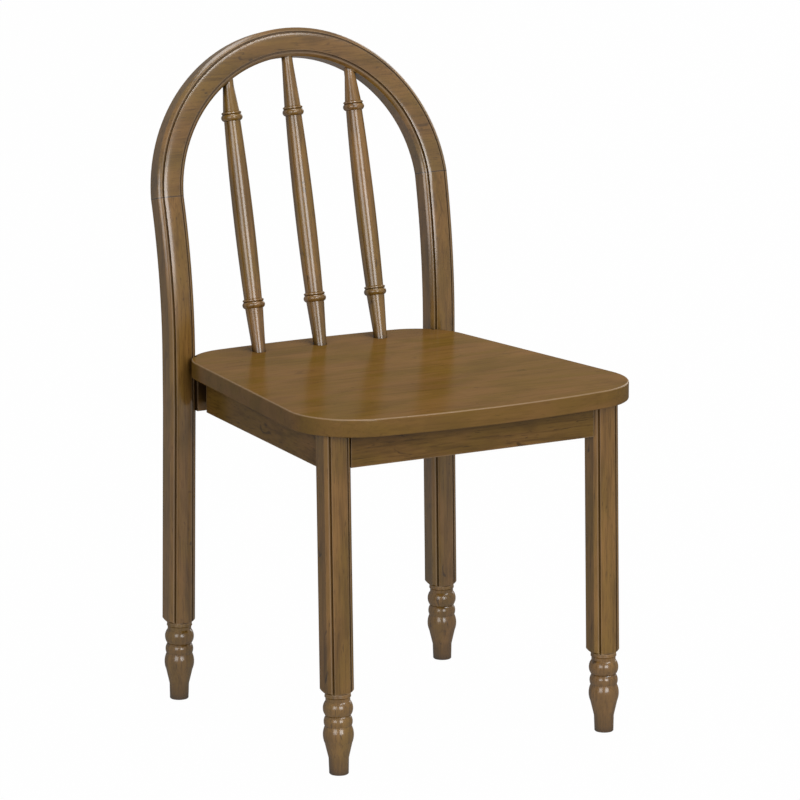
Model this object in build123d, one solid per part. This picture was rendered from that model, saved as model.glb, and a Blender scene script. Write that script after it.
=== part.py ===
from build123d import *
import math
import os

# A child's bow-back wooden chair. Millimetres and degrees, +Z up, front towards -Y, floor at Z = 0.

# Seat board
seat_height = 401.0
seat_thickness = 20.0
seat_depth = 433.0
seat_front_width = 432.0
seat_rear_width = 338.0
seat_front_bow = 24.0
seat_rear_bow = 10.0
seat_front_corner = 76.0
seat_rear_corner = 66.0
seat_rear_overhang = 18.0
seat_top_round = 2.0
seat_bottom_round = 1.5

# Legs, posts and bow share one moulded section
leg_width = 33.0
leg_depth = 24.0
bevel_depth = 5.1
bevel_width = 4.3
bevel_step = 2.0
bevel_bulge = 0.4
groove_width = 2.35
groove_depth = 3.2
front_slope_width = 3.15
front_slope_drop = 1.05
rear_edge_ease = 1.5

# Stance of the legs
leg_spacing = 353.5
front_leg_offset = 171.5
post_offset = 171.8
front_leg_lean = 1.5
rear_leg_splay = 0.75

# Back: the posts bend rearwards above the seat and the bow stands on them
bend_start = 398.5
bend_radius = 780.0
back_bend = 13.5
bend_past_seam = 3.0
post_flare = 1.5
seam_rise = 9.5

# Turned feet
foot_height = 90.5
foot_neck_radius = 14.2
foot_collar_radius = 14.6
foot_fillet_radius = 13.6
foot_bead_radius = 16.6
foot_upper_quirk_radius = 13.8
foot_lower_quirk_radius = 14.8
foot_ring_radius = 15.9
foot_bulb_radius = 17.0
foot_taper_radius = 15.2
foot_ankle_radius = 11.2
foot_tip_radius = 10.4
foot_collar_height = 4.8
foot_collar_bevel = 1.2
foot_fillet_height = 3.4
foot_bead_height = 16.8
foot_ring_height = 11.5
foot_bulb_height = 19.0
foot_taper_height = 17.0
foot_edge_chamfer = 0.8
foot_tenon_radius = 6.0
foot_tenon_length = 22.0
shoulder_height = 5.5

# Aprons under the seat
apron_height = 41.0
rear_apron_drop = 2.5
apron_thickness = 19.0
front_apron_setback = 2.5
side_apron_setback = 3.5
apron_slot = 21.0
tenon_thickness = 9.0
tenon_inset = 6.0
tenon_entry = 7.0

# Spindles, measured along their axis from the seat
spindle_pitch = 80.0
spindle_foot_inset = 20.5
spindle_crown_inset = 0.4
spindle_foot_radius = 7.7
spindle_lower_radius = 10.3
spindle_lower_bead_radius = 13.0
spindle_belly_radius = 11.6
spindle_upper_radius = 9.4
spindle_upper_bead_radius = 12.3
spindle_top_radius = 6.4
spindle_lower_bead = 53.0
spindle_belly = 155.0
spindle_upper_bead = 268.0
spindle_bead_height = 7.6
spindle_ring_height = 3.4
spindle_ring_drop = 0.9
spindle_ring_quirk = 0.9
spindle_ring_bevel = 1.1
spindle_seat_entry = 14.0
spindle_bow_entry = 13.0

# Dowels, blocks and screws
dowel_radius = 4.0
dowel_in_apron = 15.0
dowel_in_leg = 11.0
dowel_rise = 10.5
rear_dowel_margin = 6.0
bow_dowel_reach = 18.0
bow_dowel_spread = 7.0
block_height = 30.0
block_leg = 46.0
block_clear = 8.0
screw_radius = 2.0
screw_head_radius = 4.0
screw_head_height = 2.6
screw_length = 34.0
screw_bite = 14.0
screw_stagger = 4.0
seat_screw_bite = 12.0

# Clearances
dowel_clearance = 0.1
socket_clearance = 0.1
socket_bottom_gap = 0.4
tenon_clearance = 0.15
seat_notch_clearance = 0.3

# Levels and lines worked out from the sizes above
seat_underside = seat_height - seat_thickness
apron_bottom = seat_underside - apron_height
front_leg_y = -leg_spacing / 2
post_y = leg_spacing / 2
seat_rear_y = post_y + seat_rear_overhang
seat_front_y = seat_rear_y - seat_depth
leg_inner_x = front_leg_offset - leg_width / 2
post_inner_x = post_offset - leg_width / 2
front_apron_face = front_leg_y - leg_depth / 2 + front_apron_setback
front_apron_inner = front_apron_face + apron_thickness
rear_apron_face = post_y - leg_depth / 2
rear_dowel_y = rear_apron_face + apron_thickness - rear_dowel_margin
dowel_levels = [seat_underside - apron_height / 2 + step * dowel_rise for step in (-1, 1)]

# The posts bend rearwards and a little outwards, up to a seam below the bow
bend = math.radians(back_bend)
seam_set_back = math.sqrt((bend_radius * (1 - math.cos(bend))) ** 2 - post_flare ** 2)
bend_turn = math.atan(post_flare / seam_set_back)
rake = math.atan(math.tan(bend) * math.cos(bend_turn))
seam_x = post_offset + post_flare
seam_y = post_y + seam_set_back
seam_z = bend_start + bend_radius * math.sin(bend)

# The bow is part of a circle whose centre is just below the seam
bow_centre_y = seam_y - seam_rise * math.sin(rake)
bow_centre_z = seam_z - seam_rise * math.cos(rake)
bow_radius = math.hypot(seam_x, seam_rise)
bow_inner_radius = bow_radius - leg_width / 2

# Side aprons converge to the rear: their outer face runs from the front leg to the post's inner face
side_front_x = front_leg_offset + leg_width / 2 - side_apron_setback
side_front_y = front_leg_y + leg_depth / 2
side_rear_y = rear_apron_face - apron_slot
side_angle = math.atan((side_front_x - post_inner_x) / (side_rear_y - side_front_y))
side_body = (side_rear_y - side_front_y) / math.cos(side_angle)
side_reach = (rear_apron_face + tenon_entry - side_front_y) / math.cos(side_angle)

# Spindles lean with the back: from the seat to the crown of the bow
spindle_foot_y = post_y - spindle_foot_inset
crown_y = bow_centre_y + bow_inner_radius * math.sin(rake) - spindle_crown_inset
crown_z = bow_centre_z + bow_inner_radius * math.cos(rake)
spindle_lean = math.atan((crown_y - spindle_foot_y) / (crown_z - seat_height))


def rod(start, end, radius):
    """A round bar from one point to another."""
    along = Vector(*end) - Vector(*start)
    stand = Plane(origin=start, z_dir=along)
    return stand * Cylinder(radius, along.length, align=(Align.CENTER, Align.CENTER, Align.MIN))


def prism(points, bottom, top):
    """A plan outline raised between two levels."""
    outline = make_face(Polyline(*points, close=True))
    return extrude(Plane.XY.offset(bottom) * outline, top - bottom)


def mirrored(shape):
    """The left-hand twin of a right-hand piece."""
    return mirror(shape, Plane.YZ)


def moulded_section():
    """Section of legs, posts and bow: a round bevel, a groove and a slope along each front corner."""
    half_width = leg_width / 2
    half_depth = leg_depth / 2
    bevel_start = Vector(half_width, bevel_depth - half_depth)
    bevel_end = Vector(half_width - bevel_width, bevel_step - half_depth)
    bulge = (bevel_end - bevel_start).normalized().rotate(Axis.Z, 90) * bevel_bulge
    groove_start = (bevel_end.X, groove_depth - half_depth)
    groove_end = (bevel_end.X - groove_width, groove_depth - half_depth)
    slope_start = (groove_end[0], front_slope_drop - half_depth)
    field_end = (slope_start[0] - front_slope_width, -half_depth)
    right = [
        Line((half_width, half_depth), bevel_start),
        ThreePointArc(bevel_start, (bevel_start + bevel_end) * 0.5 + bulge, bevel_end),
        Line(bevel_end, groove_start),
        Line(groove_start, groove_end),
        Line(groove_end, slope_start),
        Line(slope_start, field_end),
    ]
    left = [mirror(edge, Plane.YZ) for edge in right]
    front = Line(field_end, (-field_end[0], field_end[1]))
    rear = Line((half_width, half_depth), (-half_width, half_depth))
    section = make_face(right + left + [front, rear])
    return chamfer(section.vertices().group_by(Axis.Y)[-1], rear_edge_ease)


def turned_shoulder(level):
    """What the lathe takes off the corners at the lower end of a leg."""
    corner = math.hypot(leg_width, leg_depth) / 2
    waste = Box(3 * leg_width, 3 * leg_width, shoulder_height, align=(Align.CENTER, Align.CENTER, Align.MIN))
    core = Cone(foot_neck_radius, corner, shoulder_height, align=(Align.CENTER, Align.CENTER, Align.MIN))
    return Pos(0, 0, level) * (waste - core)


def foot_socket():
    top = foot_height + foot_tenon_length + socket_bottom_gap
    return rod((0, 0, foot_height), (0, 0, top), foot_tenon_radius + socket_clearance)


def lean_front(offset):
    """Place of a front leg: upright parts tip forward about the seat's underside."""
    pivot = Pos(0, 0, -seat_underside)
    return Pos(offset, front_leg_y, seat_underside) * Rot(X=-front_leg_lean) * pivot


def foot(place):
    """A turned foot with its tenon, cut level with the floor."""
    fillet_top = foot_height - foot_collar_height
    bead_top = fillet_top - foot_fillet_height
    ring_top = bead_top - foot_bead_height
    bulb_top = ring_top - foot_ring_height
    taper_top = bulb_top - foot_bulb_height
    ankle = taper_top - foot_taper_height
    below = -foot_tip_radius
    bead_end = (foot_fillet_radius, bead_top)
    fillet_end = (foot_fillet_radius, fillet_top)
    collar = (foot_collar_radius, fillet_top + foot_collar_bevel)
    first_quirk = (foot_upper_quirk_radius, ring_top)
    second_quirk = (foot_lower_quirk_radius, bulb_top)
    taper = (foot_taper_radius, taper_top)
    heel = (foot_ankle_radius, ankle)
    shoulder = (foot_neck_radius, foot_height)
    tenon_side = (foot_tenon_radius, foot_height)
    tenon_top = foot_height + foot_tenon_length
    profile = [
        Line((0, below), (foot_tip_radius, below)),
        Line((foot_tip_radius, below), heel),
        Line(heel, taper),
        ThreePointArc(taper, (foot_bulb_radius, (taper_top + bulb_top) / 2), second_quirk),
        ThreePointArc(second_quirk, (foot_ring_radius, (bulb_top + ring_top) / 2), first_quirk),
        ThreePointArc(first_quirk, (foot_bead_radius, (ring_top + bead_top) / 2), bead_end),
        Line(bead_end, fillet_end),
        Line(fillet_end, collar),
        Line(collar, shoulder),
        Line(shoulder, tenon_side),
        Line(tenon_side, (foot_tenon_radius, tenon_top)),
        Line((foot_tenon_radius, tenon_top), (0, tenon_top)),
        Line((0, tenon_top), (0, below)),
    ]
    turned = revolve(Plane.XZ * make_face(profile), Axis.Z)
    standing = split(place * turned, Plane.XY, keep=Keep.TOP)
    rim = standing.faces().sort_by(Axis.Z)[0].edges()
    return chamfer(rim, foot_edge_chamfer)


def front_leg():
    """The right front leg, tipped forward, before its dowel holes."""
    blank = extrude(Plane.XY.offset(foot_height) * moulded_section(), seat_height - foot_height)
    blank = blank - turned_shoulder(foot_height) - foot_socket()
    return split(lean_front(front_leg_offset) * blank, Plane.XY.offset(seat_underside), keep=Keep.BOTTOM)


def splay_rear():
    """Place of the right rear foot: below the aprons the leg leans outwards."""
    pivot = Pos(0, 0, -apron_bottom)
    return Pos(post_offset, post_y, apron_bottom) * Rot(Y=-rear_leg_splay) * pivot


def rear_post():
    """The right rear leg and back post in one piece, before its dowel holes."""
    section = moulded_section()
    fall = (math.tan(math.radians(rear_leg_splay)), 0, -1)
    lower = extrude(Plane.XY.offset(apron_bottom) * section, Vector(*fall).length * apron_bottom, dir=fall)
    straight = extrude(Plane.XY.offset(apron_bottom) * section, bend_start - apron_bottom)
    hinge_point = (bend_radius * math.sin(bend_turn), bend_radius * math.cos(bend_turn), bend_start)
    hinge = Axis(hinge_point, (-math.cos(bend_turn), math.sin(bend_turn), 0))
    bent = revolve(Plane.XY.offset(bend_start) * section, hinge, back_bend + bend_past_seam)
    standing = Pos(post_offset, post_y, 0) * (lower + straight + bent)
    seam = Plane(origin=(0, seam_y, seam_z), z_dir=(0, math.sin(rake), math.cos(rake)))
    standing = split(standing, seam, keep=Keep.BOTTOM)
    standing = split(standing, Plane(splay_rear() * Pos(0, 0, foot_height)), keep=Keep.TOP)
    return standing - splay_rear() * (turned_shoulder(foot_height) + foot_socket())


def back_plane():
    """Place of the bow: its circle's centre, with local Z up the raked back."""
    return Pos(0, bow_centre_y, bow_centre_z) * Rot(X=-math.degrees(rake))


def bow_dowel_ends(reach):
    """End points of the four dowels between posts and bow."""
    ends = []
    for side in (-1, 1):
        for step in (-1, 1):
            x = side * seam_x + step * bow_dowel_spread
            low = back_plane() * Pos(x, 0, seam_rise - reach)
            high = back_plane() * Pos(x, 0, seam_rise + reach)
            ends.append((tuple(low.position), tuple(high.position)))
    return ends


def spindle_length(offset):
    """From the seat to the bow's inner edge, along the spindle."""
    climb = math.sqrt(bow_inner_radius ** 2 - offset ** 2) * math.cos(rake)
    return (bow_centre_z + climb - seat_height) / math.cos(spindle_lean)


def spindle_place(offset):
    return Pos(offset, spindle_foot_y, seat_height) * Rot(X=-math.degrees(spindle_lean))


def spindle_socket(offset, radius, from_end, to_end):
    """A drilled hole along a spindle, between two distances from the seat."""
    length = to_end - from_end
    drill = Cylinder(radius + socket_clearance, length, align=(Align.CENTER, Align.CENTER, Align.MIN))
    return spindle_place(offset) * Pos(0, 0, from_end) * drill


def bead_and_ring(neck_radius, crest_radius, middle):
    """Profile of a spindle's bead with the thin bevelled ring above it, from neck to neck."""
    bead_start = middle - spindle_bead_height / 2
    bead_end = middle + spindle_bead_height / 2
    ring_end = bead_end + spindle_ring_height
    ring_radius = crest_radius - spindle_ring_drop
    quirk = (ring_radius - spindle_ring_quirk, bead_end)
    ring_low = (ring_radius, bead_end + spindle_ring_bevel)
    ring_high = (ring_radius, ring_end - spindle_ring_bevel)
    return [
        ThreePointArc((neck_radius, bead_start), (crest_radius, middle), quirk),
        Line(quirk, ring_low),
        Line(ring_low, ring_high),
        Line(ring_high, (neck_radius, ring_end)),
    ]


def spindle(offset):
    """A turned spindle: a cone, a bead, a long belly, a bead and a thinner cone."""
    length = spindle_length(offset)
    lower = bead_and_ring(spindle_lower_radius, spindle_lower_bead_radius, spindle_lower_bead)
    upper = bead_and_ring(spindle_upper_radius, spindle_upper_bead_radius, spindle_upper_bead)
    low_start, low_end = (lower[0] @ 0, lower[-1] @ 1)
    high_start, high_end = (upper[0] @ 0, upper[-1] @ 1)
    foot_end = (spindle_foot_radius, spindle_foot_radius / 2)
    top_start = (spindle_top_radius, length - spindle_top_radius)
    top_end = (spindle_top_radius, length + spindle_bow_entry)
    profile = [
        Line((0, -spindle_seat_entry), (spindle_foot_radius, -spindle_seat_entry)),
        Line((spindle_foot_radius, -spindle_seat_entry), foot_end),
        Line(foot_end, low_start),
        *lower,
        ThreePointArc(low_end, (spindle_belly_radius, spindle_belly), high_start),
        *upper,
        Line(high_end, top_start),
        Line(top_start, top_end),
        Line(top_end, (0, length + spindle_bow_entry)),
        Line((0, length + spindle_bow_entry), (0, -spindle_seat_entry)),
    ]
    return spindle_place(offset) * revolve(Plane.XZ * make_face(profile), Axis.Z)


def bow():
    """The half-round top of the back, with sockets for the spindles and dowels."""
    ring = revolve(Pos(bow_radius, 0, 0) * moulded_section(), Axis((0, 0, 0), (0, -1, 0)), 180)
    arch = back_plane() * split(ring, Plane.XY.offset(seam_rise), keep=Keep.TOP)
    for offset in (-spindle_pitch, 0, spindle_pitch):
        length = spindle_length(offset)
        hole_end = length + spindle_bow_entry + socket_bottom_gap
        arch = arch - spindle_socket(offset, spindle_top_radius, length - leg_width, hole_end)
    for low, high in bow_dowel_ends(bow_dowel_reach + socket_bottom_gap):
        arch = arch - rod(low, high, dowel_radius + dowel_clearance)
    return arch


def side_plan(along, inward):
    """A plan point on the right side apron, measured from its front outer corner."""
    x = side_front_x - along * math.sin(side_angle) - inward * math.cos(side_angle)
    y = side_front_y + along * math.cos(side_angle) - inward * math.sin(side_angle)
    return (x, y)


def side_tenon(spare, gap):
    """The bare-faced tenon that reaches from the side apron into the rear apron."""
    outer = apron_thickness - tenon_thickness - spare
    inner = apron_thickness + spare
    end = side_reach + gap
    plan = [side_plan(side_body, outer), side_plan(end, outer), side_plan(end, inner), side_plan(side_body, inner)]
    return prism(plan, apron_bottom + tenon_inset - spare, seat_underside - tenon_inset + spare)


def side_dowel_ends(gap):
    """End points of the dowels between the right side apron and the front leg."""
    start = side_plan(-dowel_in_leg - gap, apron_thickness / 2)
    end = side_plan(dowel_in_apron + gap, apron_thickness / 2)
    return [((*start, z), (*end, z)) for z in dowel_levels]


def front_dowel_ends(gap):
    """End points of the dowels between the front apron and the right front leg."""
    y = front_apron_face + apron_thickness / 2
    start = leg_inner_x - dowel_in_apron - gap
    end = leg_inner_x + dowel_in_leg + gap
    return [((start, y, z), (end, y, z)) for z in dowel_levels]


def rear_dowel_ends(gap):
    """End points of the dowels between the rear apron and the right post."""
    start = post_inner_x - dowel_in_apron - gap
    end = post_inner_x + dowel_in_leg + gap
    return [((start, rear_dowel_y, z), (end, rear_dowel_y, z)) for z in dowel_levels]


def drill_dowels(shape, ends):
    for start, end in ends:
        shape = shape - rod(start, end, dowel_radius + dowel_clearance)
    return shape


def side_apron():
    """The right side apron: butted on the front leg, tenoned into the rear apron."""
    plan = [
        side_plan(-leg_depth, 0),
        side_plan(side_body, 0),
        side_plan(side_body, apron_thickness),
        side_plan(-leg_depth, apron_thickness),
    ]
    leg_side = Box(4 * leg_width, 4 * leg_depth, 4 * apron_height, align=(Align.CENTER, Align.MAX, Align.CENTER))
    leg_side = lean_front(front_leg_offset) * Pos(0, leg_depth / 2, seat_underside) * leg_side
    board = prism(plan, apron_bottom, seat_underside) - leg_side
    return drill_dowels(board + side_tenon(0, 0), side_dowel_ends(socket_bottom_gap))


def cross_apron(half_length, face, bottom, dowel_ends):
    """A straight apron across the chair, with the same dowel holes at both ends."""
    plan = [
        (-half_length, face),
        (half_length, face),
        (half_length, face + apron_thickness),
        (-half_length, face + apron_thickness),
    ]
    board = drill_dowels(prism(plan, bottom, seat_underside), dowel_ends)
    return drill_dowels(mirrored(board), dowel_ends)


def front_block_plan():
    """Plan of the right front corner block, clear of the leg's corner."""
    near = leg_inner_x - block_clear
    return [
        (near, front_apron_inner),
        side_plan(block_clear, apron_thickness),
        side_plan(block_clear + block_leg, apron_thickness),
        (near - block_leg, front_apron_inner),
    ]


def rear_block_plan():
    """Plan of the right rear corner block, its tip clipped for glue."""
    to_face = (rear_apron_face - side_front_y + apron_thickness * math.sin(side_angle)) / math.cos(side_angle)
    corner_x = side_plan(to_face, apron_thickness)[0]
    return [
        side_plan(to_face - block_clear, apron_thickness),
        (corner_x - block_clear, rear_apron_face),
        (corner_x - block_clear - block_leg, rear_apron_face),
        side_plan(to_face - block_clear - block_leg, apron_thickness),
    ]


def screw():
    """A wood screw along Z: the top of its flat-bottomed head at Z = 0, the point above."""
    profile = [
        (0, 0),
        (screw_head_radius, 0),
        (screw_head_radius, screw_head_height),
        (screw_radius, screw_head_height),
        (screw_radius, screw_length),
        (0, screw_length),
    ]
    return revolve(Plane.XZ * make_face(Polyline(*profile, close=True)), Axis.Z)


def screw_hole(run_out):
    """The hole for a screw, with a counterbore for its head that runs out behind it."""
    shank = rod((0, 0, 0), (0, 0, screw_length), screw_radius + dowel_clearance)
    counterbore = rod((0, 0, -run_out), (0, 0, screw_head_height), screw_head_radius + dowel_clearance)
    return shank + counterbore


def block_screw_places():
    """Two screws in each right-hand block, one into each apron, on two levels."""
    level = seat_underside - block_height / 2
    back = screw_length - screw_bite
    reach = block_leg / 2 - screw_head_radius
    places = {}
    near = leg_inner_x - block_clear
    front_point = (near - reach, front_apron_inner + back, level + screw_stagger)
    rear_corner = rear_block_plan()[1]
    rear_point = (rear_corner[0] - reach, rear_apron_face - back, level + screw_stagger)
    outward = (math.cos(side_angle), math.sin(side_angle), 0)
    inner_side = apron_thickness + back
    front_side = (*side_plan(block_clear + reach, inner_side), level - screw_stagger)
    to_face = (rear_apron_face - side_front_y) / math.cos(side_angle)
    rear_side = (*side_plan(to_face - block_clear - reach, inner_side), level - screw_stagger)
    places["front"] = [Plane(front_point, z_dir=(0, -1, 0)), Plane(front_side, z_dir=outward)]
    places["rear"] = [Plane(rear_point, z_dir=(0, 1, 0)), Plane(rear_side, z_dir=outward)]
    return places


def seat_screw_place(plan):
    """A screw up through a block into the seat, near the block's heavy corner."""
    x = sum(point[0] for point in plan) / len(plan)
    y = sum(point[1] for point in plan) / len(plan)
    return Plane((x, y, seat_underside + seat_screw_bite - screw_length), z_dir=(0, 0, 1))


def seat():
    """The seat board: bowed front, rounded corners, notched for the posts."""
    half_front = seat_front_width / 2
    half_rear = seat_rear_width / 2
    front_corner_y = seat_front_y + seat_front_bow
    corners = [(-half_front, front_corner_y), (half_front, front_corner_y)]
    rear_corner_y = seat_rear_y - seat_rear_bow
    rear = [(half_rear, rear_corner_y), (-half_rear, rear_corner_y)]
    outline = make_face(
        [
            ThreePointArc(corners[0], (0, seat_front_y), corners[1]),
            Line(corners[1], rear[0]),
            ThreePointArc(rear[0], (0, seat_rear_y), rear[1]),
            Line(rear[1], corners[0]),
        ]
    )
    outline = fillet(outline.vertices().group_by(Axis.Y)[0], seat_front_corner)
    outline = fillet(outline.vertices().group_by(Axis.Y)[-1], seat_rear_corner)
    board = extrude(Plane.XY.offset(seat_underside) * outline, seat_thickness)
    board = fillet(board.faces().sort_by(Axis.Z)[-1].edges(), seat_top_round)
    board = fillet(board.faces().sort_by(Axis.Z)[0].edges(), seat_bottom_round)
    notch_x = leg_width + 2 * seat_notch_clearance
    notch_y = leg_depth + 2 * seat_notch_clearance
    for side in (-1, 1):
        board = board - Pos(side * post_offset, post_y, seat_height) * Box(notch_x, notch_y, 4 * seat_thickness)
    for offset in (-spindle_pitch, 0, spindle_pitch):
        hole_start = -spindle_seat_entry - socket_bottom_gap
        board = board - spindle_socket(offset, spindle_foot_radius, hole_start, seat_thickness)
    return board


def both_sides(shape):
    return [shape, mirrored(shape)]


front_plan = front_block_plan()
rear_plan = rear_block_plan()
screw_places = block_screw_places()
seat_screw_places = [seat_screw_place(front_plan), seat_screw_place(rear_plan)]

seat_board = seat()
for place in seat_screw_places:
    for hole in both_sides(place * screw_hole(block_height)):
        seat_board = seat_board - hole

right_leg = drill_dowels(front_leg(), front_dowel_ends(socket_bottom_gap) + side_dowel_ends(socket_bottom_gap))
right_post = drill_dowels(rear_post(), rear_dowel_ends(socket_bottom_gap))
for low, high in bow_dowel_ends(bow_dowel_reach + socket_bottom_gap):
    right_post = right_post - rod(low, high, dowel_radius + dowel_clearance)

right_apron = side_apron()
front_apron = cross_apron(leg_inner_x, front_apron_face, apron_bottom, front_dowel_ends(socket_bottom_gap))
rear_bottom = apron_bottom - rear_apron_drop
rear_apron = cross_apron(post_inner_x, rear_apron_face, rear_bottom, rear_dowel_ends(socket_bottom_gap))
for mortise in both_sides(side_tenon(tenon_clearance, socket_bottom_gap)):
    rear_apron = rear_apron - mortise

front_block = prism(front_plan, seat_underside - block_height, seat_underside)
rear_block = prism(rear_plan, seat_underside - block_height, seat_underside)
front_block = front_block - seat_screw_places[0] * screw_hole(block_height)
rear_block = rear_block - seat_screw_places[1] * screw_hole(block_height)
for place in screw_places["front"]:
    front_block = front_block - place * screw_hole(block_leg)
for place in screw_places["rear"]:
    rear_block = rear_block - place * screw_hole(block_leg)

front_holes = screw_places["front"][0] * screw_hole(block_leg)
rear_holes = screw_places["rear"][0] * screw_hole(block_leg)
for hole in both_sides(front_holes):
    front_apron = front_apron - hole
for hole in both_sides(rear_holes):
    rear_apron = rear_apron - hole
for name in ("front", "rear"):
    right_apron = right_apron - screw_places[name][1] * screw_hole(block_leg)

front_foot = foot(lean_front(front_leg_offset))
rear_foot = foot(splay_rear())

apron_dowels = []
for start, end in front_dowel_ends(0) + side_dowel_ends(0) + rear_dowel_ends(0):
    apron_dowels += both_sides(rod(start, end, dowel_radius))
bow_dowels = [rod(low, high, dowel_radius) for low, high in bow_dowel_ends(bow_dowel_reach)]
block_screws = []
for place in screw_places["front"] + screw_places["rear"]:
    block_screws += both_sides(place * screw())
seat_screws = []
for place in seat_screw_places:
    seat_screws += both_sides(place * screw())

nodes = {
    "seat": seat_board,
    "front_apron": front_apron,
    "rear_apron": rear_apron,
    "right_side_apron": right_apron,
    "left_side_apron": mirrored(right_apron),
    "front_right_leg": right_leg,
    "front_left_leg": mirrored(right_leg),
    "rear_right_post": right_post,
    "rear_left_post": mirrored(right_post),
    "front_right_foot": front_foot,
    "front_left_foot": mirrored(front_foot),
    "rear_right_foot": rear_foot,
    "rear_left_foot": mirrored(rear_foot),
    "bow": bow(),
    "left_spindle": spindle(-spindle_pitch),
    "centre_spindle": spindle(0),
    "right_spindle": spindle(spindle_pitch),
    "front_right_block": front_block,
    "front_left_block": mirrored(front_block),
    "rear_right_block": rear_block,
    "rear_left_block": mirrored(rear_block),
    "apron_dowels": Compound(apron_dowels),
    "bow_dowels": Compound(bow_dowels),
    "block_screws": Compound(block_screws),
    "seat_screws": Compound(seat_screws),
}

# The origin is on the floor, under the middle of the whole chair
whole = Compound(list(nodes.values())).bounding_box()
to_origin = Pos(-whole.center().X, -whole.center().Y, -whole.min.Z)

os.makedirs("parts", exist_ok=True)
for name, shape in nodes.items():
    export_step(to_origin * shape, f"parts/{name}.step")
print("size", whole.size, "origin moved by", to_origin.position)
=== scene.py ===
import math

import bpy
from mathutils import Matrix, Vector

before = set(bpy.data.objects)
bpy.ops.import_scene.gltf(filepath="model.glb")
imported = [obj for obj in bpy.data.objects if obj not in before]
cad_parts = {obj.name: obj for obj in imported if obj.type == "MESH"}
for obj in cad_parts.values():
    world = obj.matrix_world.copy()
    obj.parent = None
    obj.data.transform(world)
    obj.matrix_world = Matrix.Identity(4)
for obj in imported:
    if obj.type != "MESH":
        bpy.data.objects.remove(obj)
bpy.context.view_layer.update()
scene = bpy.context.scene
scene.view_settings.view_transform = "Standard"

# The photograph's viewing angle in degrees and metres, with lens and sensor in millimetres
CAMERA_AZIMUTH = -30.322
CAMERA_ELEVATION = 12.042
CAMERA_DISTANCE = 5.7711
CAMERA_TARGET = Vector((0.01487, -0.00668, 0.36256))
CAMERA_LENS = 230.6
CAMERA_SENSOR = 36.0
CAMERA_CLIP = 100.0

# The lamps stand this far from a point in the middle of the chair
LAMP_TARGET = Vector((0.0, 0.0, 0.4))
LAMP_DISTANCE = 7.0

# Each lamp's azimuth and elevation in degrees, width and height in metres, and power in watts
SOFTBOXES = {
    "left_softbox": (-54.0, 14.0, 3.2, 3.0, 185.0),
    "front_softbox": (-6.0, 14.0, 3.0, 2.8, 275.0),
    "upper_softbox": (20.0, 45.0, 5.0, 0.8, 145.0),
    "top_softbox": (-2.0, 86.0, 3.0, 4.6, 335.0),
    "rear_softbox": (120.0, 20.0, 4.0, 4.0, 310.0),
}

# The floor's half side, its paint and the share of plain white that it shows, and the world's fill
FLOOR_HALF = 12.0
FLOOR_PAINT = (0.35, 0.35, 0.35, 1.0)
FLOOR_WHITE_SHARE = 0.99
WORLD_FILL = 0.08
WHITE = (1.0, 1.0, 1.0, 1.0)
BLACK = (0.0, 0.0, 0.0, 1.0)

# The lean of the back, and the dark seam between posts and bow
BACK_RAKE = math.radians(13.47)
SPINDLE_LEAN = math.radians(13.2)
SEAM_POINT = (0.0, 0.1916, 0.58059)
SEAM_HALF_WIDTH = 0.0008
SEAM_CORE = 0.4
SEAM_SHARE = 0.85

# The staves of the glued-up seat board, in metres
STAVE_LENGTH = 0.23
STAVE_WIDTH = 0.062
STAVE_OFFSET = 0.37
STAVE_SHARE = 0.1

# Stain tones, linear; SHADE and the glaze tone also paint shade into corners and hollows, and the worn
# tone also paints a highlight on the seat's top arris
OLIVE = (0.139, 0.076, 0.014)
RUSSET = (0.168, 0.085, 0.023)
SHADE = (0.048, 0.023, 0.004)
GLAZE_AND_SHADE = (0.014, 0.007, 0.003)
WEAR_AND_HIGHLIGHT = (0.3, 0.21, 0.13)

# The two tones of each hidden material, linear
PINE = ((0.52, 0.36, 0.19), (0.4, 0.25, 0.12))
BEECH = ((0.6, 0.42, 0.25), (0.48, 0.31, 0.17))
STEEL = ((0.46, 0.46, 0.45), (0.58, 0.58, 0.57))

# Noise layers, in cells per metre across and along the grain
BLOTCH = {"across": 22.0, "along": 8.0, "detail": 4.0, "roughness": 0.55, "distortion": 0.8}
CLOUD = {"across": 34.0, "along": 13.0, "detail": 3.0, "distortion": 0.6}
FIGURE = {"across": 150.0, "along": 8.0, "detail": 5.0, "roughness": 0.62, "distortion": 0.5}
FIBRE = {"across": 520.0, "along": 24.0, "detail": 3.0, "roughness": 0.6}
PORES = {"across": 760.0, "along": 60.0, "detail": 2.0}
KNOTS = {"across": 90.0, "along": 42.0, "detail": 1.0, "roughness": 0.4, "distortion": 1.2}
TIMBER_FIGURE = {"across": 160.0, "along": 12.0, "detail": 5.0, "roughness": 0.6, "distortion": 0.6}
TIMBER_FIBRE = {"across": 900.0, "along": 40.0, "detail": 3.0, "roughness": 0.6}
STEEL_DRAWN = {"across": 900.0, "along": 2600.0, "detail": 3.0, "roughness": 0.6}
STEEL_CLOUD = {"across": 240.0, "along": 240.0, "detail": 3.0}

# The two levels of a noise between which its layer fades in
UNIT_STEP = (0.0, 1.0)
BLOTCH_STEP = (0.34, 0.66)
CLOUD_STEP = (0.42, 0.72)
FIGURE_STEP = (0.46, 0.74)
FIBRE_STEP = (0.46, 0.76)
PORE_STEP = (0.63, 0.72)
KNOT_STEP = (0.7, 0.78)
GLOSS_STEP = (0.3, 0.7)
TIMBER_FIGURE_STEP = (0.35, 0.7)
TIMBER_FIBRE_STEP = (0.5, 0.8)
STEEL_CLOUD_STEP = (0.35, 0.65)

# How strongly the finest layers show
FIGURE_SHARE = 0.62
FIBRE_SHARE = 0.5
PORE_SHARE = 0.5
TIMBER_FIBRE_SHARE = 0.35

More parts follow.
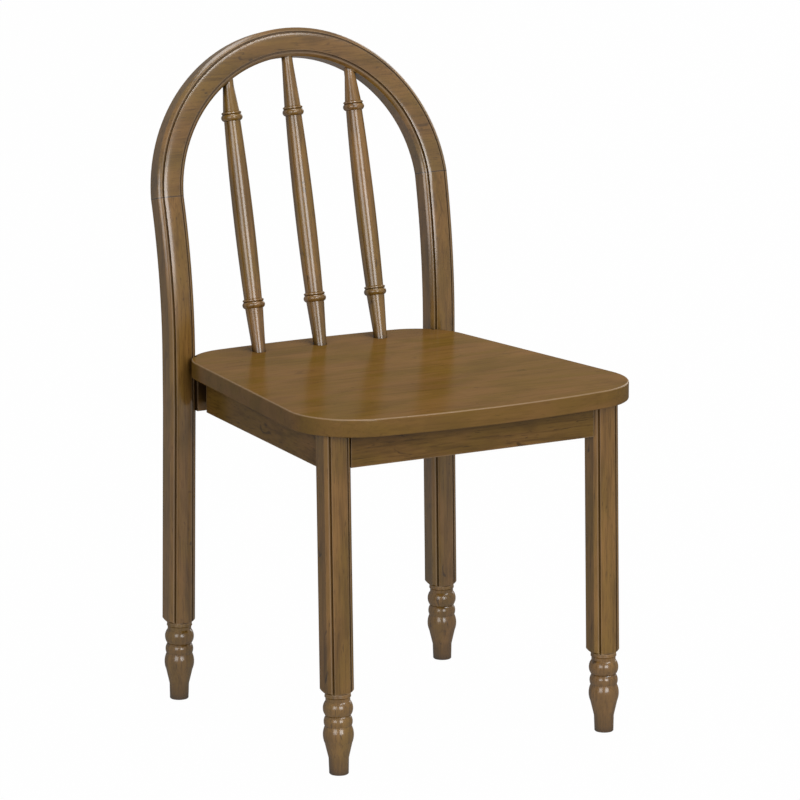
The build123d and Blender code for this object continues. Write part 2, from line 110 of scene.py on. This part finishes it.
# The openness of the surface between which painted shade darkens corners, dark glaze and painted shade
# gather in hollows, and edges wear
OPENNESS_SAMPLES = 8
CORNER_SHADE_STEP = (0.35, 0.9)
HOLLOW_STEP = (0.35, 0.88)
WORN_STEP = (0.66, 0.92)
WORN_REACH = 0.0016

# The heights over which a foot's tip darkens, and how far up a face looks where the seat's sides get
# painted shade and the upper half of its top arris a painted highlight
TIP_STEP = (0.012, 0.026)
SIDE_STEP = (0.2, 0.7)
RIM_HIGHLIGHT_LOW_STEP = (0.3, 0.55)
RIM_HIGHLIGHT_HIGH_STEP = (0.95, 0.985)

# Gloss and relief
STAIN_ROUGHNESS = (0.3, 0.4)
PORE_ROUGHNESS = 0.12
TIMBER_ROUGHNESS = (0.55, 0.72)
STEEL_ROUGHNESS = (0.28, 0.42)
COAT_ROUGHNESS = 0.2
COAT_IOR = 2.5
FIBRE_HEIGHT = 0.5
STAIN_BUMP = {"strength": 0.12, "distance": 0.0003}
TIMBER_BUMP = {"strength": 0.2, "distance": 0.0003}
STEEL_BUMP = {"strength": 0.15, "distance": 0.0001}

# How each grain direction turns the object's coordinates so that the grain runs along Z
GRAINS = {
    "up": (0.0, 0.0, 0.0),
    "across": (0.0, math.radians(90), 0.0),
    "along": (math.radians(90), 0.0, 0.0),
    "spindle": (SPINDLE_LEAN, 0.0, 0.0),
}

# The seeds move the noise so that no two pieces look alike, by this much in metres for each step
SEED_SHIFT = (1.7, 0.9, 2.3)
FIRST_WOOD_SEED = 1
FIRST_BLOCK_SEED = 30
APRON_DOWEL_SEED = 40
BOW_DOWEL_SEED = 41
STEEL_SEED = 3

# How the kinds of piece differ from plain stained wood
SEAT = {
    "staves": True,
    "tone": 0.96,
    "mottle": 0.2,
    "streaks": 0.4,
    "knots": 0.25,
    "corner_shade": 0.4,
    "worn": 0.0,
    # A painted highlight on the top arris and painted shade on the side faces
    "rim_highlight": 0.45,
    "side_shade": 0.04,
    "coat": 0.08,
}
# The aprons get strong painted shade under the seat and at their joints, and turned pieces dark glaze
# and painted shade between their beads
APRON = {"corner_shade": 0.75, "corner_shade_reach": 0.05, "hollow_glaze_and_shade": 0.9, "hollow_reach": 0.03, "coat": 0.08}
TURNED = {"tone": 1.08, "corner_shade": 0.6, "hollow_glaze_and_shade": 0.9, "hollow_reach": 0.012, "coat": 0.2}
FOOT = {**TURNED, "tip": 0.4}
POST = {"seam": True, "coat": 0.19}

# Which way the grain runs in each visible piece, and its look
VISIBLE = {
    "seat": {"grain": "across", **SEAT},
    "front_apron": {"grain": "across", **APRON},
    "rear_apron": {"grain": "across", **APRON},
    "right_side_apron": {"grain": "along", **APRON},
    "left_side_apron": {"grain": "along", **APRON},
    "front_right_leg": {"grain": "up", "tone": 1.12},
    "front_left_leg": {"grain": "up"},
    "rear_right_post": {"grain": "up", "tone": 0.97, **POST},
    "rear_left_post": {"grain": "up", **POST},
    "front_right_foot": {"grain": "up", **FOOT},
    "front_left_foot": {"grain": "up", **FOOT},
    "rear_right_foot": {"grain": "up", **FOOT},
    "rear_left_foot": {"grain": "up", **FOOT},
    "bow": {"grain": "across", "seam": True, "tone": 0.9, "coat": 0.22},
    "left_spindle": {"grain": "spindle", **TURNED},
    "centre_spindle": {"grain": "spindle", **TURNED},
    "right_spindle": {"grain": "spindle", **TURNED},
}
BLOCK_SIDES = ("front_right", "front_left", "rear_right", "rear_left")

# Vertices closer than this are one, and edges sharper than this stay sharp
WELD_DISTANCE = 1e-6
SHARP_ANGLE = math.radians(32)


class Tree:
    """Adds linked nodes to one material or world."""

    def __init__(self, owner):
        owner.use_nodes = True
        self.tree = owner.node_tree
        self.tree.nodes.clear()

    def add(self, kind, inputs=None, **settings):
        """A new node with its settings made and its inputs fed."""
        made = self.tree.nodes.new(kind)
        for name, value in settings.items():
            setattr(made, name, value)
        for name, value in (inputs or {}).items():
            self.feed(made, name, value)
        return made

    def feed(self, node, name, value):
        """Links an input to another node's socket, or sets it to a plain value."""
        socket = node.inputs[name]
        if isinstance(value, bpy.types.NodeSocket):
            self.tree.links.new(value, socket)
        else:
            socket.default_value = value

    def math(self, operation, a, b=0.0, clamp=False):
        made = self.add("ShaderNodeMath", {0: a, 1: b}, operation=operation, use_clamp=clamp)
        return made.outputs[0]

    def vector(self, operation, a, b):
        made = self.add("ShaderNodeVectorMath", {0: a, 1: b}, operation=operation)
        return made.outputs["Vector"]

    def upward(self, vector):
        return self.add("ShaderNodeSeparateXYZ", {"Vector": vector}).outputs["Z"]

    def ramp(self, value, step, start=0.0, end=1.0):
        """Turns smoothly from start to end as a value crosses the two levels of a step."""
        low, high = step
        made = self.add(
            "ShaderNodeMapRange",
            {"Value": value, "From Min": low, "From Max": high, "To Min": start, "To Max": end},
            interpolation_type="SMOOTHSTEP",
        )
        return made.outputs["Result"]

    def mix(self, factor, a, b):
        """A blend of two colours, each a socket or a linear RGB tone."""
        made = self.add("ShaderNodeMix", data_type="RGBA", clamp_factor=True)
        self.feed(made, 0, factor)
        self.feed(made, 6, a if isinstance(a, bpy.types.NodeSocket) else (*a, 1.0))
        self.feed(made, 7, b if isinstance(b, bpy.types.NodeSocket) else (*b, 1.0))
        return made.outputs[2]

    def noise(self, vector, across, along, detail, roughness=0.5, distortion=0.0):
        """Noise stretched along the grain."""
        made = self.add(
            "ShaderNodeTexNoise",
            {
                "Vector": self.vector("MULTIPLY", vector, (across, across, along)),
                "Scale": 1.0,
                "Detail": detail,
                "Roughness": roughness,
                "Distortion": distortion,
            },
        )
        return made.outputs["Fac"]

    def openness(self, reach, inside=False):
        """How open the surface is within a reach: low in hollows, or low on edges when inside."""
        made = self.add(
            "ShaderNodeAmbientOcclusion",
            {"Distance": reach},
            samples=OPENNESS_SAMPLES,
            inside=inside,
        )
        return made.outputs["AO"]

    def bump(self, height, strength, distance):
        made = self.add(
            "ShaderNodeBump",
            {"Height": height, "Strength": strength, "Distance": distance},
        )
        return made.outputs[0]

    def surface(self, inputs):
        """The material's shader and output."""
        shader = self.add("ShaderNodeBsdfPrincipled", inputs)
        self.add("ShaderNodeOutputMaterial", {"Surface": shader.outputs[0]})


def toned(colour, tone):
    """A colour made darker or paler."""
    return tuple(tone * channel for channel in colour)


def grain_vector(t, grain, seed):
    """Object coordinates, and the same with the grain along Z and moved by the seed."""
    where = t.add("ShaderNodeTexCoord").outputs["Object"]
    turned = t.add("ShaderNodeMapping", {"Vector": where, "Rotation": GRAINS[grain]})
    shift = tuple(seed * step for step in SEED_SHIFT)
    return where, t.vector("ADD", turned.outputs[0], shift)


def seam_mask(t, where):
    """One on the thin glue line between a post and the bow, elsewhere zero."""
    normal = (0.0, math.sin(BACK_RAKE), math.cos(BACK_RAKE))
    off = t.vector("SUBTRACT", where, SEAM_POINT)
    away = t.add("ShaderNodeVectorMath", {0: off, 1: normal}, operation="DOT_PRODUCT").outputs["Value"]
    step = (SEAM_HALF_WIDTH * SEAM_CORE, SEAM_HALF_WIDTH)
    return t.ramp(t.math("ABSOLUTE", away), step, 1.0, 0.0)


def stave_tint(t, where):
    """A different level for each stave of the glued-up seat board."""
    bricks = t.add(
        "ShaderNodeTexBrick",
        {
            "Vector": where,
            "Color1": BLACK,
            "Color2": WHITE,
            "Scale": 1.0,
            "Mortar Size": 0.0,
            "Brick Width": STAVE_LENGTH,
            "Row Height": STAVE_WIDTH,
        },
        offset=STAVE_OFFSET,
    )
    return t.ramp(bricks.outputs["Color"], UNIT_STEP)


def stain_layers(t, vector, tone, mottle, streaks, knots):
    """The stain's colour, and the figure, fibre and pores that gloss and relief follow."""
    shade = toned(SHADE, tone)
    blotch = t.noise(vector, **BLOTCH)
    colour = t.mix(t.ramp(blotch, BLOTCH_STEP), toned(OLIVE, tone), toned(RUSSET, tone))
    cloud = t.noise(vector, **CLOUD)
    colour = t.mix(t.ramp(cloud, CLOUD_STEP, 0.0, mottle), colour, shade)
    figure = t.noise(vector, **FIGURE)
    colour = t.mix(t.ramp(figure, FIGURE_STEP, 0.0, FIGURE_SHARE * streaks), colour, shade)
    fibre = t.noise(vector, **FIBRE)
    colour = t.mix(t.ramp(fibre, FIBRE_STEP, 0.0, FIBRE_SHARE * streaks), colour, shade)
    pores = t.ramp(t.noise(vector, **PORES), PORE_STEP)
    colour = t.mix(t.math("MULTIPLY", pores, PORE_SHARE * streaks), colour, GLAZE_AND_SHADE)
    knot = t.noise(vector, **KNOTS)
    colour = t.mix(t.ramp(knot, KNOT_STEP, 0.0, knots), colour, GLAZE_AND_SHADE)
    return colour, figure, fibre, pores


def stained_wood(
    name,
    grain,
    seed,
    staves=False,
    seam=False,
    tone=1.0,
    mottle=0.4,
    streaks=1.0,
    knots=0.6,
    corner_shade=0.5,
    corner_shade_reach=0.03,
    hollow_glaze_and_shade=0.5,
    hollow_reach=0.006,
    worn=0.3,
    rim_highlight=0.0,
    side_shade=0.0,
    tip=0.0,
    coat=0.14,
):
    """Brown stained wood under satin lacquer, with painted shade in corners, dark glaze and painted
    shade in the hollows, worn edges, and on the seat painted shade on its sides and a painted
    highlight on its top arris.
    """
    material = bpy.data.materials.new(name)
    t = Tree(material)
    where, vector = grain_vector(t, grain, seed)
    shade = toned(SHADE, tone)
    colour, figure, fibre, pores = stain_layers(t, vector, tone, mottle, streaks, knots)
    if staves:
        colour = t.mix(t.math("MULTIPLY", stave_tint(t, where), STAVE_SHARE), colour, shade)
    # Painted shade: darker within a few centimetres of other surfaces, in corners and under the seat
    colour = t.mix(t.ramp(t.openness(corner_shade_reach), CORNER_SHADE_STEP, corner_shade, 0.0), colour, SHADE)
    # Dark glaze and painted shade: darker in narrow hollows, grooves and joints
    colour = t.mix(t.ramp(t.openness(hollow_reach), HOLLOW_STEP, hollow_glaze_and_shade, 0.0), colour, GLAZE_AND_SHADE)
    if tip:
        colour = t.mix(t.ramp(t.upward(where), TIP_STEP, tip, 0.0), colour, SHADE)
    edge = t.openness(WORN_REACH, inside=True)
    colour = t.mix(t.ramp(edge, WORN_STEP, worn, 0.0), colour, WEAR_AND_HIGHLIGHT)
    if rim_highlight or side_shade:
        facing = t.upward(t.add("ShaderNodeNewGeometry").outputs["Normal"])
        # Painted shade: the seat's side faces darker than its top
        side = t.ramp(t.math("ABSOLUTE", facing), SIDE_STEP, side_shade, 0.0)
        colour = t.mix(side, colour, shade)
        # Painted highlight: a lighter line on the upper half of the seat's top arris
        above = t.ramp(facing, RIM_HIGHLIGHT_LOW_STEP)
        below = t.ramp(facing, RIM_HIGHLIGHT_HIGH_STEP, rim_highlight, 0.0)
        colour = t.mix(t.math("MULTIPLY", above, below), colour, WEAR_AND_HIGHLIGHT)
    if seam:
        colour = t.mix(t.math("MULTIPLY", seam_mask(t, where), SEAM_SHARE), colour, GLAZE_AND_SHADE)
    plain_roughness = t.ramp(figure, GLOSS_STEP, *STAIN_ROUGHNESS)
    pore_roughness = t.math("MULTIPLY", pores, PORE_ROUGHNESS)
    height = t.math("SUBTRACT", t.math("MULTIPLY", fibre, FIBRE_HEIGHT), pores)
    t.surface(
        {
            "Base Color": colour,
            "Roughness": t.math("ADD", plain_roughness, pore_roughness),
            "Normal": t.bump(height, **STAIN_BUMP),
            "Specular IOR Level": 0.0,
            "Coat Weight": coat,
            "Coat Roughness": COAT_ROUGHNESS,
            "Coat IOR": COAT_IOR,
        }
    )
    return material


def bare_wood(name, grain, seed, pale, deep):
    """Unstained timber for the hidden blocks and dowels."""
    material = bpy.data.materials.new(name)
    t = Tree(material)
    vector = grain_vector(t, grain, seed)[1]
    figure = t.noise(vector, **TIMBER_FIGURE)
    fibre = t.noise(vector, **TIMBER_FIBRE)
    colour = t.mix(t.ramp(figure, TIMBER_FIGURE_STEP), pale, deep)
    colour = t.mix(t.ramp(fibre, TIMBER_FIBRE_STEP, 0.0, TIMBER_FIBRE_SHARE), colour, deep)
    t.surface(
        {
            "Base Color": colour,
            "Roughness": t.ramp(fibre, GLOSS_STEP, *TIMBER_ROUGHNESS),
            "Normal": t.bump(fibre, **TIMBER_BUMP),
        }
    )
    return material


def screw_steel():
    """Zinc-plated steel with a fine drawn finish."""
    material = bpy.data.materials.new("screw_steel")
    t = Tree(material)
    vector = grain_vector(t, "up", STEEL_SEED)[1]
    drawn = t.noise(vector, **STEEL_DRAWN)
    cloud = t.noise(vector, **STEEL_CLOUD)
    t.surface(
        {
            "Base Color": t.mix(t.ramp(cloud, STEEL_CLOUD_STEP), *STEEL),
            "Metallic": 1.0,
            "Roughness": t.ramp(drawn, GLOSS_STEP, *STEEL_ROUGHNESS),
            "Normal": t.bump(drawn, **STEEL_BUMP),
        }
    )
    return material


def dress(node, material):
    """Gives a CAD node its material and smooth shading, with sharp edges kept."""
    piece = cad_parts[node]
    piece.data.materials.clear()
    piece.data.materials.append(material)
    piece.data.shade_smooth()
    weld = piece.modifiers.new("weld", "WELD")
    weld.merge_threshold = WELD_DISTANCE
    split = piece.modifiers.new("edges", "EDGE_SPLIT")
    split.split_angle = SHARP_ANGLE


def white_to_camera(t):
    """One for rays from the camera, mirrors and glass, zero for rays that light the chair."""
    path = t.add("ShaderNodeLightPath")
    seen = t.math("ADD", path.outputs["Is Camera Ray"], path.outputs["Is Glossy Ray"])
    return t.math("ADD", seen, path.outputs["Is Transmission Ray"], clamp=True)


def aim(holder, target, azimuth, elevation, distance):
    """Puts a lamp or camera at an azimuth and elevation in degrees, facing its target."""
    a = math.radians(azimuth)
    e = math.radians(elevation)
    away = Vector((math.sin(a) * math.cos(e), -math.cos(a) * math.cos(e), math.sin(e)))
    holder.location = target + away * distance
    holder.rotation_euler = (-away).to_track_quat("-Z", "Y").to_euler()
    scene.collection.objects.link(holder)


def make_camera():
    """The camera at the photograph's viewing angle."""
    data = bpy.data.cameras.new("camera")
    data.lens = CAMERA_LENS
    data.sensor_width = CAMERA_SENSOR
    data.clip_end = CAMERA_CLIP
    camera = bpy.data.objects.new("camera", data)
    aim(camera, CAMERA_TARGET, CAMERA_AZIMUTH, CAMERA_ELEVATION, CAMERA_DISTANCE)
    scene.camera = camera


def make_floor():
    """A plain floor that shows white and keeps a faint shadow."""
    mesh = bpy.data.meshes.new("floor")
    half = FLOOR_HALF
    corners = [(-half, -half, 0), (half, -half, 0), (half, half, 0), (-half, half, 0)]
    mesh.from_pydata(corners, [], [(0, 1, 2, 3)])
    floor = bpy.data.objects.new("floor", mesh)
    scene.collection.objects.link(floor)
    material = bpy.data.materials.new("floor_white")
    t = Tree(material)
    paint = t.add("ShaderNodeBsdfDiffuse", {"Color": FLOOR_PAINT})
    glow = t.add("ShaderNodeEmission", {"Color": WHITE, "Strength": 1.0})
    share = t.math("MULTIPLY", white_to_camera(t), FLOOR_WHITE_SHARE)
    mixed = t.add("ShaderNodeMixShader", {0: share, 1: paint.outputs[0], 2: glow.outputs[0]})
    t.add("ShaderNodeOutputMaterial", {"Surface": mixed.outputs[0]})
    mesh.materials.append(material)


def make_world():
    """White to the camera, a dim even fill for the chair."""
    world = bpy.data.worlds.new("studio")
    scene.world = world
    t = Tree(world)
    strength = t.ramp(white_to_camera(t), UNIT_STEP, WORLD_FILL, 1.0)
    back = t.add("ShaderNodeBackground", {"Color": WHITE, "Strength": strength})
    t.add("ShaderNodeOutputWorld", {"Surface": back.outputs[0]})


def make_softbox(name, azimuth, elevation, width, height, power):
    """A soft studio lamp aimed at the middle of the chair."""
    lamp = bpy.data.lights.new(name, "AREA")
    lamp.shape = "RECTANGLE"
    lamp.size = width
    lamp.size_y = height
    lamp.energy = power
    holder = bpy.data.objects.new(name, lamp)
    aim(holder, LAMP_TARGET, azimuth, elevation, LAMP_DISTANCE)


for seed, (node, look) in enumerate(VISIBLE.items(), start=FIRST_WOOD_SEED):
    dress(node, stained_wood(node + "_wood", seed=seed, **look))
for seed, side in enumerate(BLOCK_SIDES, start=FIRST_BLOCK_SEED):
    dress(side + "_block", bare_wood(side + "_pine", "across", seed, *PINE))
dress("apron_dowels", bare_wood("apron_beech", "across", APRON_DOWEL_SEED, *BEECH))
dress("bow_dowels", bare_wood("bow_beech", "up", BOW_DOWEL_SEED, *BEECH))
steel = screw_steel()
dress("block_screws", steel)
dress("seat_screws", steel)

make_camera()
make_floor()
make_world()
for name, settings in SOFTBOXES.items():
    make_softbox(name, *settings)
